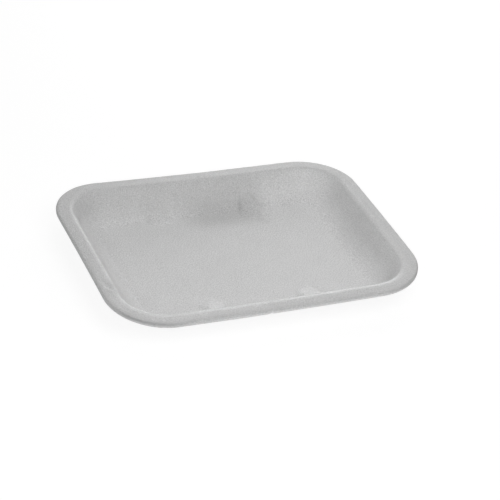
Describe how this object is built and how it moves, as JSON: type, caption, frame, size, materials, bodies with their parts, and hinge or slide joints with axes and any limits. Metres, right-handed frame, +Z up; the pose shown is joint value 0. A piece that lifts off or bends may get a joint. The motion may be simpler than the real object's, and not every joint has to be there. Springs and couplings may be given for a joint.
{
  "type": "foam food tray",
  "caption": "Shallow rounded rectangular foam food tray with a flanged rim, sloping walls, flat floor and low de-nesting lugs in its long walls.",
  "frame": {"origin": "middle of the resting face under the floor", "axes": "+X along the long side, +Y along the short side, +Z up out of the well"},
  "size_m": [0.235, 0.184, 0.0245],
  "materials": {
    "foam": "matt light grey expanded polystyrene foam with a fine pebbled skin"
  },
  "bodies": {
    "root": {"tray": "foam"}
  },
  "joints": []
}
